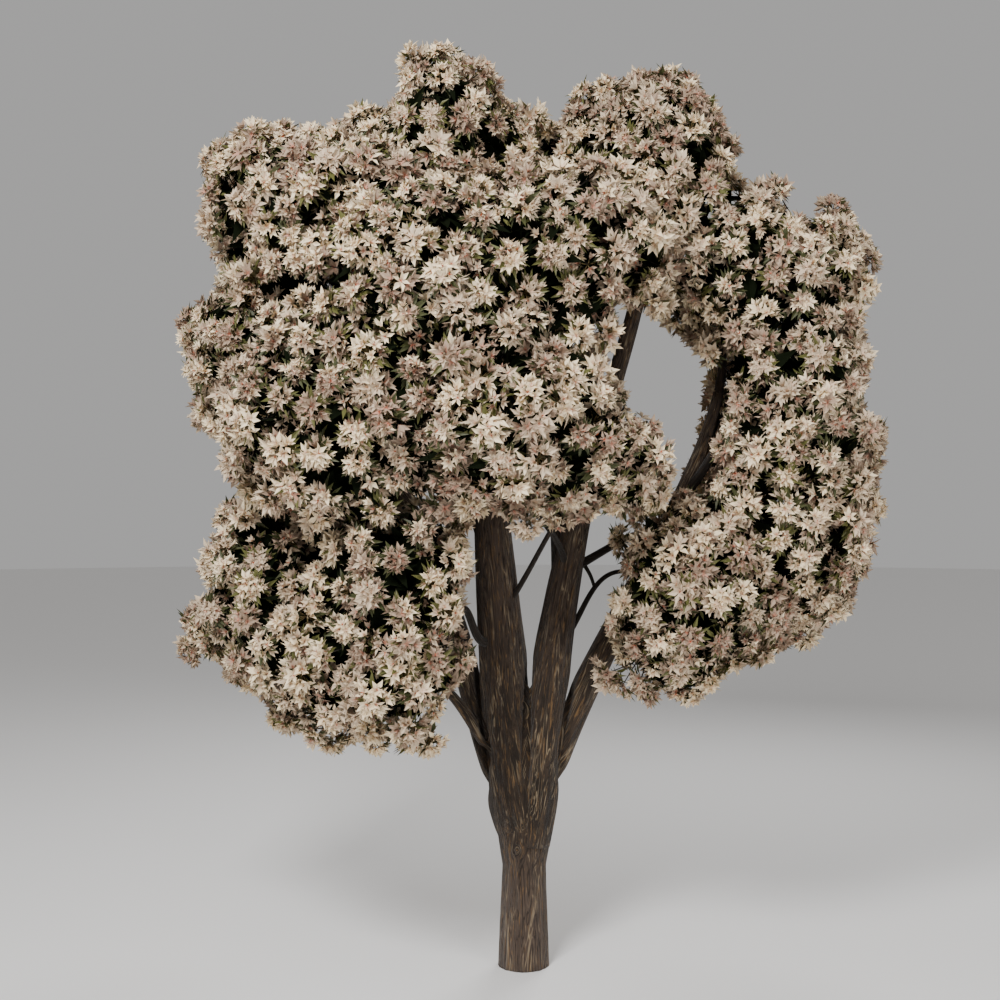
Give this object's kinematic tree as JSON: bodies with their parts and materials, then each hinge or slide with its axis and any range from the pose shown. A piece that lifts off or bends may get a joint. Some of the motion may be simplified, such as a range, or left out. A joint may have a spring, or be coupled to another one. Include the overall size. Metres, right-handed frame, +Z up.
{
  "type": "cherry blossom tree",
  "caption": "Flowering cherry tree in full blossom: a short trunk forks low into leaning stems that carry a broad, lumpy crown of pale pink blossom.",
  "frame": {"origin": "middle of the trunk's flat cut at ground level", "axes": "+Z up along the trunk; the camera's side of the tree is -Y, its right side is +X"},
  "size_m": [5.0615, 3.9818, 6.4359],
  "materials": {
    "bark": "rough",
    "blossom": "matte"
  },
  "bodies": {
    "root": {"bough_back": "bark", "bough_back_left": "bark", "bough_back_low_left": "bark", "bough_back_low_right": "bark", "bough_back_top": "bark", "bough_front": "bark", "bough_front_left": "bark", "bough_front_right": "bark", "bough_front_top": "bark", "bough_front_upper": "bark", "bough_left": "bark", "bough_left_shoulder": "bark", "bough_low_left": "bark", "bough_lower_front": "bark", "bough_lower_left": "bark", "bough_lower_right": "bark", "bough_right": "bark", "bough_right_back": "bark", "bough_right_front": "bark", "bough_right_low": "bark", "bough_upper_left": "bark", "stem_left": "bark", "stem_right": "bark", "trunk": "bark", "twig_right": "bark", "blossom_back": "blossom", "blossom_back_left": "blossom", "blossom_back_low_left": "blossom", "blossom_back_low_right": "blossom", "blossom_back_top": "blossom", "blossom_front": "blossom", "blossom_front_left": "blossom", "blossom_front_right": "blossom", "blossom_front_top": "blossom", "blossom_front_upper": "blossom", "blossom_left": "blossom", "blossom_left_shoulder": "blossom", "blossom_lower_front": "blossom", "blossom_lower_left": "blossom", "blossom_lower_left_front": "blossom", "blossom_lower_right": "blossom", "blossom_right_back": "blossom", "blossom_right_front": "blossom", "blossom_right_low": "blossom", "blossom_right_upper": "blossom", "blossom_top_left": "blossom", "blossom_top_right": "blossom", "blossom_upper_left": "blossom"}
  },
  "joints": []
}
